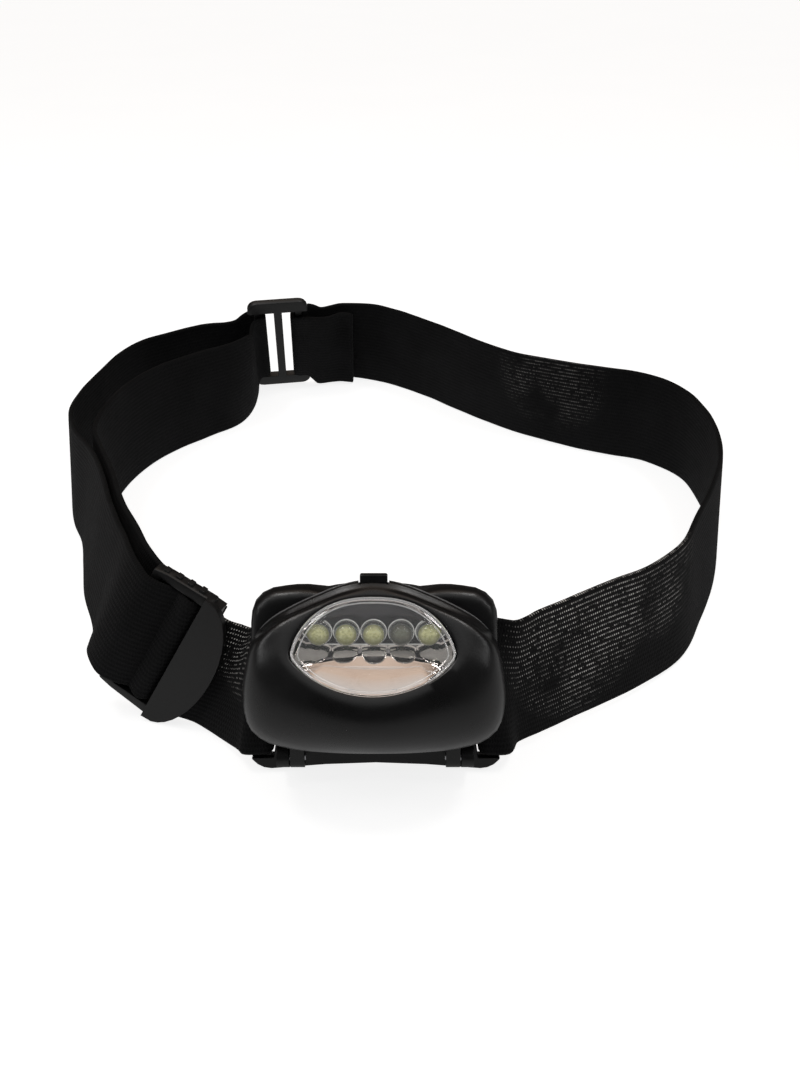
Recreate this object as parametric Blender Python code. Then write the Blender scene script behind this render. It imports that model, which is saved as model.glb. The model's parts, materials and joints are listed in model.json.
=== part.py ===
"""Five-LED headlamp on an elastic head strap, lying with the lamp leaning back.

The origin is the centre of the base plate's back face, +X is the wearer's left-hand
side seen from the front, -Y is forward and +Z is up.  Lamp pieces are drawn in the
plate's own frame (x across, d forward of the plate's back, h up from its foot) and
then leaned back.  Strap pieces are drawn standing on the ground plane.
"""
import math

import bmesh
import bpy
from mathutils import Matrix, Vector

MM = 0.001

# ---------------------------------------------------------------- dimensions (mm)
LEAN_DEG = 15.0
GAP = 0.3

PLATE_HALF_WIDTH = 28.0
PLATE_HEIGHT = 40.5
PLATE_THICK = 3.0
PLATE_WAIST = 1.4
PLATE_CORNER = 5.0
PLATE_TOP = 37.0
PLATE_TAPER = 0.16
BAR_INNER = 24.4
BAR_FRONT = 1.7
SLOT_INNER = 22.1
SLOT_LOW, SLOT_HIGH = 2.6, 35.5

HINGE_D, HINGE_H = 6.3, 4.6
HINGE_RADIUS = 2.4
PIN_RADIUS = 0.9
LUG_INNER, LUG_OUTER = 15.2, 18.2
EAR_OUTER = 21.2

HEAD_BACK = 3.9
HOUSING_FRONT = 10.0
SHELL_BACK = 10.3
HEAD_CENTRE_H = 26.0
SHELL_WALL = 1.6

CELL_RADIUS, CELL_THICK = 10.0, 3.2
CELL_X, CELL_H = 10.8, 25.6

LENS_CENTRE_D, LENS_CENTRE_H = 20.25, 35.2
LENS_HALF_WIDTH = 16.4
LENS_RISE, LENS_DROP = 11.6, 7.8
LENS_TIP_V = -1.9
LENS_THICK, LENS_DOME = 1.6, 1.1

LED_COUNT = 5
LED_PITCH = 5.5
LED_RADIUS = 2.45
LED_H = 35.5
LED_BASE_D, LED_TIP_D = 11.6, 16.9
REFLECTOR_BACK_D = 13.2

BOARD_BACK, BOARD_FRONT = 10.3, 11.3

BUTTON_TRAVEL = 0.6

STRAP_WIDTH = 32.0
STRAP_THICK = 1.5
STRAP_MID_H = 19.05

SHELL_SAMPLES = 80
LENS_SAMPLES = 64


# ---------------------------------------------------------------- frames
LEAN = Matrix.Rotation(-math.radians(LEAN_DEG), 4, "X")
GROUND_SHIFT = Vector((0, PLATE_HEIGHT / 2 * math.sin(math.radians(LEAN_DEG)),
                       PLATE_HEIGHT / 2 * math.cos(math.radians(LEAN_DEG))))


def head(x, d, h):
    """Point in the plate's frame: x across, d forward, h up the plate."""
    return Vector((x, -d, h - PLATE_HEIGHT / 2))


def ground(x, y, z):
    """Point in the frame that stands on the ground under the plate's foot."""
    return Vector((x, y, z)) - GROUND_SHIFT


def leaned(point):
    return LEAN @ point


# ---------------------------------------------------------------- scene helpers
def clear_scene():
    for obj in list(bpy.data.objects):
        bpy.data.objects.remove(obj, do_unlink=True)


def material(name, colour, roughness, metallic=0.0, alpha=1.0):
    mat = bpy.data.materials.get(name)
    if mat is None:
        mat = bpy.data.materials.new(name)
        mat.use_nodes = True
        bsdf = mat.node_tree.nodes["Principled BSDF"]
        bsdf.inputs["Base Color"].default_value = (*colour, 1.0)
        bsdf.inputs["Roughness"].default_value = roughness
        bsdf.inputs["Metallic"].default_value = metallic
        bsdf.inputs["Alpha"].default_value = alpha
    return mat


def make_object(name, bm, mat=None):
    """Turn a bmesh drawn in millimetres into a named object in metres."""
    bmesh.ops.remove_doubles(bm, verts=bm.verts, dist=1e-5)
    bmesh.ops.recalc_face_normals(bm, faces=bm.faces)
    mesh = bpy.data.meshes.new(name)
    bmesh.ops.scale(bm, vec=(MM, MM, MM), verts=bm.verts)
    bm.to_mesh(mesh)
    bm.free()
    obj = bpy.data.objects.new(name, mesh)
    bpy.context.scene.collection.objects.link(obj)
    if mat is not None:
        mesh.materials.append(mat)
    return obj


def make_empty(name, location):
    empty = bpy.data.objects.new(name, None)
    empty.location = leaned(location) * MM
    empty.rotation_euler = LEAN.to_euler()
    bpy.context.scene.collection.objects.link(empty)
    return empty


def mount(obj, empty, pivot):
    """Hang an object drawn in the plate's frame on a leaned empty."""
    obj.parent = empty
    obj.location = -pivot * MM
    return obj


def cutter(obj):
    obj.hide_render = True
    obj.display_type = "WIRE"
    return obj


def add_boolean(target, tool, operation):
    mod = target.modifiers.new(operation.lower(), "BOOLEAN")
    mod.operation = operation
    mod.solver = "EXACT"
    mod.object = cutter(tool)
    tool.parent = target.parent
    tool.location = target.location
    if target.parent is None:
        tool.matrix_world = target.matrix_world.copy()


def cut(target, *tools):
    for tool in tools:
        add_boolean(target, tool, "DIFFERENCE")


def join(target, *tools):
    for tool in tools:
        add_boolean(target, tool, "UNION")


def smooth(obj, angle_deg=35.0):
    for poly in obj.data.polygons:
        poly.use_smooth = True
    sharp = math.radians(angle_deg)
    bm = bmesh.new()
    bm.from_mesh(obj.data)
    for edge in bm.edges:
        edge.smooth = len(edge.link_faces) == 2 and edge.calc_face_angle() < sharp
    bm.to_mesh(obj.data)
    bm.free()
    return obj


def bevel(obj, width, segments=2, angle_deg=40.0):
    mod = obj.modifiers.new("edge_round", "BEVEL")
    mod.width = width * MM
    mod.segments = segments
    mod.limit_method = "ANGLE"
    mod.angle_limit = math.radians(angle_deg)
    return obj


# ---------------------------------------------------------------- mesh builders
def loft_mesh(rings, cap_start=True, cap_end=True, close_rings=False):
    """Closed surface through rings of equal length; caps are fans about their centre."""
    bm = bmesh.new()
    rows = [[bm.verts.new(p) for p in ring] for ring in rings]
    pairs = list(zip(rows, rows[1:]))
    if close_rings:
        pairs.append((rows[-1], rows[0]))
    count = len(rows[0])
    for low, high in pairs:
        for i in range(count):
            j = (i + 1) % count
            bm.faces.new((low[i], low[j], high[j], high[i]))
    if close_rings:
        return bm
    for row, wanted in ((rows[0], cap_start), (rows[-1], cap_end)):
        if wanted:
            centre = bm.verts.new(sum((v.co for v in row), Vector()) / count)
            for i in range(count):
                bm.faces.new((row[i], row[(i + 1) % count], centre))
    return bm


def prism_mesh(outline, offset):
    """Prism from a flat outline and an offset vector."""
    bm = bmesh.new()
    low = [bm.verts.new(p) for p in outline]
    high = [bm.verts.new(p + offset) for p in outline]
    bm.faces.new(low)
    bm.faces.new(high[::-1])
    count = len(outline)
    for i in range(count):
        j = (i + 1) % count
        bm.faces.new((low[i], high[i], high[j], low[j]))
    return bm


def box_mesh(x0, x1, d0, d1, h0, h1):
    outline = [head(x0, d0, h0), head(x1, d0, h0), head(x1, d0, h1), head(x0, d0, h1)]
    return prism_mesh(outline, Vector((0, d0 - d1, 0)))


def circle(centre, u, v, radius, count):
    steps = [2 * math.pi * i / count for i in range(count)]
    return [centre + (u * math.cos(a) + v * math.sin(a)) * radius for a in steps]


def turned_mesh(base, axis, profile, count):
    """Body of revolution: profile is a list of (distance along the axis, radius)."""
    side = axis.orthogonal().normalized()
    up = axis.cross(side)
    rings = [circle(base + axis * s, side, up, r, count) for s, r in profile]
    return loft_mesh(rings)


def arc_points(cx, cy, radius, start_deg, end_deg, count):
    points = []
    for i in range(count + 1):
        a = math.radians(start_deg + (end_deg - start_deg) * i / count)
        points.append((cx + radius * math.cos(a), cy + radius * math.sin(a)))
    return points


def rounded_rectangle(x0, x1, y0, y1, radius, count=4):
    points = []
    points += arc_points(x1 - radius, y0 + radius, radius, -90, 0, count)
    points += arc_points(x1 - radius, y1 - radius, radius, 0, 90, count)
    points += arc_points(x0 + radius, y1 - radius, radius, 90, 180, count)
    points += arc_points(x0 + radius, y0 + radius, radius, 180, 270, count)
    return points


def face_prism(points, d0, d1):
    """Prism of (x, h) points from depth d0 to d1."""
    return prism_mesh([head(x, d0, h) for x, h in points], Vector((0, d0 - d1, 0)))


def side_prism(points, x0, x1):
    """Prism of (d, h) points from x0 to x1."""
    return prism_mesh([head(x0, d, h) for d, h in points], Vector((x1 - x0, 0, 0)))


# ---------------------------------------------------------------- curves
def spline(points, spacing, closed=False, extra=None):
    """Smooth curve through points; extra values are blended along with them.

    Tangents are weighted by the span lengths, so uneven stations don't overshoot.
    """
    tracks = [points] if extra is None else [points, extra]
    count = len(points)
    spans = count if closed else count - 1
    lengths = [(points[(i + 1) % count] - points[i]).length for i in range(spans)]

    def tangent(track, i):
        before, after = (i - 1) % count, (i + 1) % count
        if not closed and i == 0:
            return (track[1] - track[0]) / lengths[0]
        if not closed and i == count - 1:
            return (track[-1] - track[-2]) / lengths[-1]
        h0, h1 = lengths[before], lengths[i]
        return ((track[i] - track[before]) * (h1 / h0) + (track[after] - track[i]) * (h0 / h1)) / (h0 + h1)

    results = [[] for _ in tracks]
    for i in range(spans):
        j, h = (i + 1) % count, lengths[i]
        steps = max(2, math.ceil(h / spacing))
        for track, result in zip(tracks, results):
            m0, m1 = tangent(track, i) * h, tangent(track, j) * h
            for k in range(steps):
                t = k / steps
                result.append(track[i] * (2 * t ** 3 - 3 * t * t + 1) + m0 * (t ** 3 - 2 * t * t + t)
                              + track[j] * (3 * t * t - 2 * t ** 3) + m1 * (t ** 3 - t * t))
    if not closed:
        for track, result in zip(tracks, results):
            result.append(track[-1].copy())
    return results[0] if extra is None else results


def radial_outline(points, centre_h):
    """Polar function r(angle) about (0, centre_h) of a closed (x, h) outline."""
    polar = sorted((math.atan2(h - centre_h, x), math.hypot(x, h - centre_h))
                   for x, h in points)
    angles = [a for a, _ in polar]
    radii = [r for _, r in polar]

    def radius(angle):
        angle = math.atan2(math.sin(angle), math.cos(angle))
        if angle <= angles[0] or angle >= angles[-1]:
            a0, a1, r0, r1 = angles[-1], angles[0] + 2 * math.pi, radii[-1], radii[0]
            if angle <= angles[0]:
                angle += 2 * math.pi
            return r0 + (r1 - r0) * (angle - a0) / (a1 - a0)
        for i in range(1, len(angles)):
            if angle <= angles[i]:
                share = (angle - angles[i - 1]) / (angles[i] - angles[i - 1])
                return radii[i - 1] + (radii[i] - radii[i - 1]) * share
        return radii[-1]

    return radius


def smoothstep(low, high, value):
    t = min(max((value - low) / (high - low), 0.0), 1.0)
    return t * t * (3 - 2 * t)


# ---------------------------------------------------------------- lamp outlines
def shell_outline():
    """Arched outline of the front shell, as a dense closed list of (x, h)."""
    right = [(0, 8.9), (10.2, 9.2), (18.2, 10.2), (22.8, 11.8), (25.6, 14.4), (26.8, 18.4),
             (27.0, 22.5), (26.3, 28.0), (24.9, 33.2), (21.6, 37.2), (17.0, 40.1),
             (11.0, 43.0), (5.4, 45.2)]
    left = [(-x, h) for x, h in right[:0:-1]]
    knots = [Vector((x, h)) for x, h in right + [(0, 46.0)] + left]
    return [(p.x, p.y) for p in spline(knots, 1.0, closed=True)]


def housing_outline():
    return rounded_rectangle(-25.6, 25.6, 9.7, 42.7, 6.0, 6)


SHELL_RADIUS = radial_outline(shell_outline(), HEAD_CENTRE_H)
HOUSING_RADIUS = radial_outline(
    [(p.x, p.y) for a, b in zip(housing_outline(), housing_outline()[1:] + housing_outline()[:1])
     for p in (Vector(a), Vector(a).lerp(Vector(b), 0.25), Vector(a).lerp(Vector(b), 0.5),
               Vector(a).lerp(Vector(b), 0.75))], HEAD_CENTRE_H)

LENS_UP = Vector((0, 0.551, 0.834)).normalized()
LENS_OUT = Vector((0, -0.834, 0.551)).normalized()
LENS_CENTRE = head(0, LENS_CENTRE_D, LENS_CENTRE_H)


def lens_radius(angle):
    """Distance from the lens centre line's middle to its pointed oval outline."""
    low, high = 0.0, 30.0
    for _ in range(40):
        r = (low + high) / 2
        u = abs(r * math.cos(angle)) / LENS_HALF_WIDTH
        v = r * math.sin(angle)
        if u >= 1:
            inside = False
        elif v >= 0:
            inside = v < LENS_RISE * (1 - u ** 2.4) ** 0.6
        else:
            inside = -v < LENS_DROP * (1 - u * u) ** 0.78
        low, high = (r, high) if inside else (low, r)
    return low


def lens_point(angle, grow=0.0, depth=0.0, share=1.0):
    """Point on the lens outline, grown outward and sunk by depth along its normal."""
    r = (lens_radius(angle) + grow) * share
    across = Vector((1, 0, 0)) * (r * math.cos(angle))
    up = LENS_UP * (r * math.sin(angle) + LENS_TIP_V)
    return LENS_CENTRE + across + up - LENS_OUT * depth


def sample_angles(count):
    return [2 * math.pi * (i + 0.5) / count for i in range(count)]


def head_ring(radius_of, depth, angles):
    ring = []
    for a in angles:
        r = radius_of(a)
        ring.append(head(r * math.cos(a), depth, HEAD_CENTRE_H + r * math.sin(a)))
    return ring


def bezier(p0, p1, p2, p3, t):
    s = 1 - t
    return p0 * s ** 3 + p1 * (3 * s * s * t) + p2 * (3 * s * t * t) + p3 * t ** 3


def top_weight(angle):
    """1 on the arch, 0 on the sides and chin."""
    return smoothstep(0.30, 0.75, math.sin(angle))


def bulge_rings(angles, inset, front_grow, front_depth, start_back, steps):
    """Rings that roll from the arch out to the lens opening."""
    columns = []
    for a in angles:
        rise = math.sin(a)
        arch = top_weight(a)
        r = SHELL_RADIUS(a) - inset - 0.9 * arch
        start = head(r * math.cos(a), 12.8 - start_back * arch, HEAD_CENTRE_H + r * rise)
        end = lens_point(a, front_grow, front_depth)
        low = max(0.0, -rise)
        forward = 8.0 + 3.5 * low - 6.6 * arch
        lift = 3.4 * low - 0.6 * arch
        leave = start + Vector((0, -forward, lift))
        spread = (5.0 + 2.6 * low - 3.6 * arch)
        outward = (Vector((math.cos(a), 0, 0)) + LENS_UP * rise).normalized()
        arrive = end + outward * spread - LENS_OUT * (0.35 * (1 - low))
        columns.append((start, leave, arrive, end))
    return [[bezier(*c, k / steps) for c in columns] for k in range(steps + 1)]


# ---------------------------------------------------------------- materials
BLACK = (0.035, 0.036, 0.038)


def shell_plastic():
    return material("shell_plastic", BLACK, 0.45)


def frame_plastic():
    return material("frame_plastic", (0.02, 0.02, 0.022), 0.5)


def webbing():
    return material("webbing", (0.018, 0.018, 0.02), 0.9)


def steel():
    return material("steel", (0.6, 0.6, 0.62), 0.3, 1.0)


# ---------------------------------------------------------------- base plate
def tapered(x, h):
    """Plate outline point pulled in towards the middle as the plate rises."""
    return (x - math.copysign(PLATE_TAPER * max(h - PLATE_CORNER, 0.0), x) if x else x, h)


def plate_outline():
    """Outline wider at the foot than at the top, waisted along both long edges."""
    w, top, r = PLATE_HALF_WIDTH, PLATE_TOP, PLATE_CORNER
    points = [(0, PLATE_WAIST), (11, PLATE_WAIST * 0.7)]
    points += arc_points(w - r, r, r, -90, 0, 5)
    points += [tapered(x, h) for x, h in arc_points(w - r, top - r, r, 0, 90, 5)]
    points += [(11, top - PLATE_WAIST * 0.7), (0, top - PLATE_WAIST)]
    return points + [(-x, h) for x, h in points[-2:0:-1]]


def slanted_slot(x0, x1, h0, h1, d0, d1):
    """Block from x0 to x1 that leans inward as much as the plate's tapered side."""
    corners = [(x0, h0), (x1, h0), (x1, h1), (x0, h1)]
    lean = math.copysign(PLATE_TAPER, x0)
    return face_prism([(x - lean * (h - PLATE_CORNER), h) for x, h in corners], d0, d1)


def hinge_disc(radius, x0, x1, count=20):
    centre = head(x0, HINGE_D, HINGE_H)
    ring = circle(centre, Vector((0, 1, 0)), Vector((0, 0, 1)), radius, count)
    return prism_mesh(ring, Vector((x1 - x0, 0, 0)))


def build_base_plate(root):
    plate = make_object("base_plate", face_prism(plate_outline(), 0, PLATE_THICK), frame_plastic())
    mount(plate, root, Vector())
    for side in (-1, 1):
        x0, x1 = sorted((side * (LUG_OUTER + GAP), side * EAR_OUTER))
        foot = side_prism([(2, 1.4), (HINGE_D - 1.2, 2.5), (HINGE_D - 0.4, 6.9), (2, 8.0)], x0, x1)
        join(plate, make_object("ear_foot", foot),
             make_object("ear_disc", hinge_disc(HINGE_RADIUS, x0, x1)))
        slot = (side * SLOT_INNER, side * BAR_INNER)
        recess = (side * (SLOT_INNER - 0.2), side * (PLATE_HALF_WIDTH + 1))
        cut(plate,
            make_object("strap_slot", slanted_slot(*slot, SLOT_LOW, SLOT_HIGH, -1, 4)),
            make_object("bar_recess", slanted_slot(*recess, SLOT_LOW - 0.2, SLOT_HIGH + 0.2,
                                                   BAR_FRONT, 4)),
            make_object("pin_hole", hinge_disc(PIN_RADIUS + 0.15, x0 - 1, x1 + 1, 16)))
    return plate


def build_hinge_pins(root):
    for name, side in (("hinge_pin_left", -1), ("hinge_pin_right", 1)):
        axis = Vector((side, 0, 0))
        base = head(side * (LUG_INNER - 0.2), HINGE_D, HINGE_H)
        length = EAR_OUTER - LUG_INNER + 0.2
        profile = [(0, PIN_RADIUS - 0.2), (0.2, PIN_RADIUS), (length - 0.2, PIN_RADIUS),
                   (length, PIN_RADIUS - 0.2)]
        mount(smooth(make_object(name, turned_mesh(base, axis, profile, 16), steel())), root, Vector())


# ---------------------------------------------------------------- lamp head
def build_rear_housing(hinge, pivot):
    angles = sample_angles(SHELL_SAMPLES)

    def blended(share, inset=0.0):
        def radius(a):
            front = SHELL_RADIUS(a) - 0.6
            return HOUSING_RADIUS(a) * (1 - share) + front * share - inset
        return radius

    stations = [(HEAD_BACK, 0.0, 1.1), (HEAD_BACK + 0.5, 0.0, 0.35), (HEAD_BACK + 1.3, 0.0, 0.0),
                (6.2, 0.0, 0.0), (7.3, 0.03, 0.0), (8.2, 0.11, 0.0), (8.9, 0.25, 0.0),
                (9.4, 0.46, 0.0), (9.7, 0.68, 0.0), (HOUSING_FRONT, 1.0, 0.0)]
    rings = [head_ring(blended(share, inset), depth, angles) for depth, share, inset in stations]
    body = smooth(make_object("rear_housing", loft_mesh(rings), shell_plastic()), 50)
    mount(body, hinge, pivot)
    for side in (-1, 1):
        x0, x1 = sorted((side * LUG_INNER, side * LUG_OUTER))
        arm = [(HEAD_BACK + 0.5, 11.5), (HINGE_D - HINGE_RADIUS, HINGE_H),
               (HINGE_D + HINGE_RADIUS, HINGE_H), (HINGE_D + 2.6, 11.5)]
        join(body, make_object("lug_arm", side_prism(arm, x0, x1)),
             make_object("lug_disc", hinge_disc(HINGE_RADIUS, x0, x1)))
        cut(body, make_object("lug_hole", hinge_disc(PIN_RADIUS + 0.3, x0 - 1, x1 + 1, 16)))
    pocket = rounded_rectangle(-22.4, 22.4, 15.4, 35.8, 2.5, 3)
    cut(body, make_object("cell_pocket", face_prism(pocket, 2, 9.0)),
        make_object("cover_channel", face_prism(channel_section(), 2, 5.2)))
    for x in (-1, 1):
        groove = box_mesh(*sorted((x * 23.4, x * 24.6)), 4.35, 5.2, 13.2, 50)
        cut(body, make_object("cover_groove", groove))
    slots = [(-21.75, -20.65, 23.8, 27.4), (15.4, 16.6, 18.4, 22.1)]
    for x0, x1, h0, h1 in slots:
        cut(body, make_object("contact_slot", box_mesh(x0, x1, 8, 11, h0, h1)))
    for x in (-8, 8):
        hole = turned_mesh(head(x, 6.6, 13.3), Vector((0, -1, 0)), [(0, 0.95), (5, 0.95)], 12)
        cut(body, make_object("screw_hole", hole))
    return body


def channel_section():
    return [(-23.7, 13.2), (23.7, 13.2), (23.7, 50), (-23.7, 50)]


def build_front_shell(hinge, pivot):
    angles = sample_angles(SHELL_SAMPLES)
    outer = [head_ring(lambda a: SHELL_RADIUS(a) - 0.25, SHELL_BACK, angles),
             head_ring(SHELL_RADIUS, SHELL_BACK + 0.3, angles),
             head_ring(SHELL_RADIUS, SHELL_BACK + 1.7, angles),
             head_ring(lambda a: SHELL_RADIUS(a) - 0.25 * top_weight(a), 12.3, angles)]
    outer += bulge_rings(angles, 0.0, 0.75, 0.0, 0.0, 9)
    outer.append([lens_point(a, 0.3, 0.2) for a in angles])
    inner = [[lens_point(a, 0.3, 2.0) for a in angles]]
    inner += bulge_rings(angles, SHELL_WALL, 0.7, 2.3, 1.7, 6)[-2::-1]
    inner.append(head_ring(lambda a: SHELL_RADIUS(a) - SHELL_WALL, SHELL_BACK, angles))
    bm = loft_mesh(outer + inner, close_rings=True)
    shell = smooth(make_object("front_shell", bm, shell_plastic()), 50)
    mount(shell, hinge, pivot)
    cut(shell, make_object("button_slot", box_mesh(-3.1, 3.1, 9.5, 12.3, 41.0, 50)),
        make_object("flange_room", box_mesh(-4.5, 4.5, 9.5, 12.3, 40.0, 43.6)))
    return shell


def build_lens(hinge, pivot):
    angles = sample_angles(LENS_SAMPLES)
    shares = (1.0, 0.97, 0.85, 0.65, 0.4, 0.18)

    def ring(share, back):
        bulge = LENS_DOME * (1 - share * share)
        edge = 0.25 if share == 1.0 else 0.0
        depth = LENS_THICK - edge if back else edge
        return [lens_point(a, 0.0, depth - bulge, share) for a in angles]

    rings = [ring(s, False) for s in shares[::-1]] + [ring(s, True) for s in shares]
    clear = material("lens_clear", (0.95, 0.96, 0.97), 0.05, 0.0, 0.35)
    return mount(smooth(make_object("lens", loft_mesh(rings), clear)), hinge, pivot)


def build_reflector(hinge, pivot):
    angles = sample_angles(LENS_SAMPLES)

    def back_ring(grow, depth):
        ring = []
        for a in angles:
            x, h = math.cos(a), math.sin(a)
            tall = 3.5 if h > 0 else 2.65
            size = 1.0 / (abs(x / (14.9 + grow)) ** 4 + abs(h / (tall + grow)) ** 4) ** 0.25
            ring.append(head(size * x, depth, 35.5 + size * h))
        return ring

    front_out = [lens_point(a, 0.0, 1.95) for a in angles]
    front_in = [lens_point(a, -0.8, 1.95) for a in angles]
    back_out = back_ring(0.8, REFLECTOR_BACK_D - 0.8)
    back_in = back_ring(0.0, REFLECTOR_BACK_D)
    mid_out = [a.lerp(b, 0.45) for a, b in zip(front_out, back_out)]
    mid_in = [a.lerp(b, 0.45) for a, b in zip(front_in, back_in)]
    bm = loft_mesh([back_out, mid_out, front_out, front_in, mid_in, back_in])
    bowl = make_object("reflector", bm, material("reflector_metal", (0.8, 0.8, 0.82), 0.12, 1.0))
    mount(smooth(bowl, 30), hinge, pivot)
    for x in led_positions():
        hole = turned_mesh(head(x, 11, LED_H), Vector((0, -1, 0)), [(0, 2.6), (7, 2.6)], 20)
        cut(bowl, make_object("led_hole", hole))
    return bowl


def led_positions():
    return [(i - (LED_COUNT - 1) / 2) * LED_PITCH for i in range(LED_COUNT)]


def build_leds(hinge, pivot):
    epoxy = material("led_epoxy", (0.9, 0.92, 0.8), 0.08, 0.0, 0.6)
    length = LED_TIP_D - LED_BASE_D
    shoulder = length - LED_RADIUS
    profile = [(0, 2.6), (0.75, 2.6), (0.75, LED_RADIUS), (shoulder, LED_RADIUS)]
    for deg in (22, 44, 62, 78):
        a = math.radians(deg)
        profile.append((shoulder + LED_RADIUS * math.sin(a), LED_RADIUS * math.cos(a)))
    for i, x in enumerate(led_positions()):
        bm = turned_mesh(head(x, LED_BASE_D, LED_H), Vector((0, -1, 0)), profile, 20)
        led = mount(smooth(make_object("led_%d" % (i + 1), bm, epoxy)), hinge, pivot)
        for dx in (-1.27, 1.27):
            leg = box_mesh(x + dx - 0.25, x + dx + 0.25, 10.25, 12.2, LED_H - 0.25, LED_H + 0.25)
            join(led, make_object("led_leg", leg))


def build_board(hinge, pivot):
    right = [(11, 11.9), (19.3, 17.5), (19.3, 34.4), (9.5, 40.0), (3.6, 40.0), (3.6, 38.9)]
    outline = right + [(-x, h) for x, h in right[::-1]]
    green = material("board_green", (0.03, 0.16, 0.06), 0.5)
    board = make_object("led_board", face_prism(outline, BOARD_BACK, BOARD_FRONT), green)
    mount(board, hinge, pivot)
    forward = Vector((0, -1, 0))
    for x in led_positions():
        for dx in (-1.27, 1.27):
            hole = turned_mesh(head(x + dx, 10, LED_H), forward, [(0, 0.5), (2, 0.5)], 8)
            cut(board, make_object("leg_hole", hole))
    for x in (-8, 8):
        hole = turned_mesh(head(x, 10, 13.3), forward, [(0, 1.0), (2, 1.0)], 12)
        cut(board, make_object("board_hole", hole))
    cut(board, make_object("tail_slot", box_mesh(15.4, 16.6, 10, 12, 18.4, 22.1)))
    for name, x in (("board_screw_left", -8), ("board_screw_right", 8)):
        profile = [(0, 0.5), (0.4, 0.7), (4.5, 0.7), (4.5, 1.5), (5.2, 1.5), (5.5, 1.1)]
        screw = turned_mesh(head(x, 7.1, 13.3), forward, profile, 12)
        mount(smooth(make_object(name, screw, steel())), hinge, pivot)
    ceramic = material("resistor_black", (0.03, 0.03, 0.03), 0.4)
    for name, x in (("resistor_1", -5.5), ("resistor_2", 2.3)):
        chip = box_mesh(x, x + 3.2, 11.6, 12.2, 22.0, 23.6)
        mount(make_object(name, chip, ceramic), hinge, pivot)


def build_switch(hinge, button, plunger):
    grey = material("switch_plastic", (0.12, 0.12, 0.13), 0.5)
    body = make_object("switch_body", box_mesh(-2.9, 2.9, 10.3, 12.1, 39.2, 40.9), grey)
    mount(body, *hinge)
    up = Vector((0, 0, 1))
    bore = turned_mesh(head(0, 11.2, 39.5), up, [(0, 0.75), (3, 0.75)], 16)
    cut(body, make_object("plunger_bore", bore))
    rod = turned_mesh(head(0, 11.2, 40.25), up, [(0, 0.5), (1.1, 0.5), (1.2, 0.35)], 12)
    white = material("plunger_white", (0.8, 0.8, 0.78), 0.4)
    mount(smooth(make_object("switch_plunger", rod, white)), *plunger)
    cap = make_object("power_button", box_mesh(-2.8, 2.8, 10.4, 12.0, 42.4, 47.3), shell_plastic())
    mount(cap, *button)
    bevel(cap, 0.35)
    join(cap, make_object("button_flange", box_mesh(-4.2, 4.2, 10.4, 12.0, 41.75, 42.9)))


def build_power(hinge, pivot):
    forward = Vector((0, -1, 0))
    for name, x in (("coin_cell_1", -CELL_X), ("coin_cell_2", CELL_X)):
        profile = [(0, CELL_RADIUS - 0.3), (0.3, CELL_RADIUS), (2.6, CELL_RADIUS),
                   (2.7, CELL_RADIUS - 1.2), (CELL_THICK, CELL_RADIUS - 1.4)]
        cell = turned_mesh(head(x, 5.35, CELL_H), forward, profile, 32)
        mount(smooth(make_object(name, cell, steel())), hinge, pivot)
    brass = material("contact_brass", (0.78, 0.6, 0.25), 0.3, 1.0)
    strips = {
        "positive_clip": ([(-21.15, 5.6), (-21.2, 8.4), (-21.2, 10.9)], 25.6, 3.0),
        "bridge_contact": ([(-14.5, 8.8), (-10.8, 8.74), (18.6, 8.78), (20.8, 8.7), (21.3, 8.2),
                            (21.3, 5.7)], 25.6, 3.0),
        "negative_spring": ([(8.0, 8.8), (11.5, 8.74), (15.0, 8.8), (15.7, 8.95), (16.0, 9.6),
                             (16.0, 12.0)], 20.25, 2.6),
    }
    for name, (path, mid_h, width) in strips.items():
        points = [head(x, d, mid_h) for x, d in path]
        bm = ribbon_mesh(points, [Vector((0, 0, 1))] * len(points), width, 0.16)
        mount(make_object(name, bm, brass), hinge, pivot)
    wires = {
        "wire_red": ([(-20.3, 10.9, 25.6), (-19.6, 12.3, 26.6), (-16.5, 12.7, 28.4),
                      (-12.5, 12.6, 27.4), (-11.0, 11.8, 26.2)], (0.6, 0.02, 0.02)),
        "wire_black": ([(16.7, 12.3, 23.0), (15.5, 13.2, 25.4), (12.6, 12.8, 27.0),
                        (10.6, 11.8, 26.2)], (0.02, 0.02, 0.02)),
    }
    for name, (path, colour) in wires.items():
        wire = make_object(name, tube_mesh(path, 0.45), material(name, colour, 0.4))
        mount(smooth(wire), hinge, pivot)


def tube_mesh(path, radius, sides=8):
    points = spline([head(x, d, h) for x, d, h in path], 0.9)
    rings = []
    for i, p in enumerate(points):
        tangent = (points[min(i + 1, len(points) - 1)] - points[max(i - 1, 0)]).normalized()
        side = tangent.cross(Vector((0, 0, 1))).normalized()
        rings.append(circle(p, side, side.cross(tangent), radius, sides))
    return loft_mesh(rings)


def cover_outline(half_width):
    """Sliding cover's outline: square foot and top corners rounded like the housing's."""
    bottom, top = 13.6, 42.2
    radius = half_width - 17.8
    right = arc_points(half_width - radius, top - radius, radius, 0, 90, 6)
    return [(half_width, bottom)] + right + [(-x, h) for x, h in right[::-1]] + [(-half_width, bottom)]


def build_cover(empty, pivot):
    cover = make_object("battery_cover", face_prism(cover_outline(23.4), 3.95, 5.0), shell_plastic())
    mount(cover, empty, pivot)
    join(cover, make_object("cover_tongues", face_prism(cover_outline(24.3), 4.5, 5.0)))
    for i in range(3):
        h = 36.5 + 1.6 * i
        cut(cover, make_object("grip_groove", box_mesh(-8, 8, 3, 4.35, h, h + 0.7)))
    return cover


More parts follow.
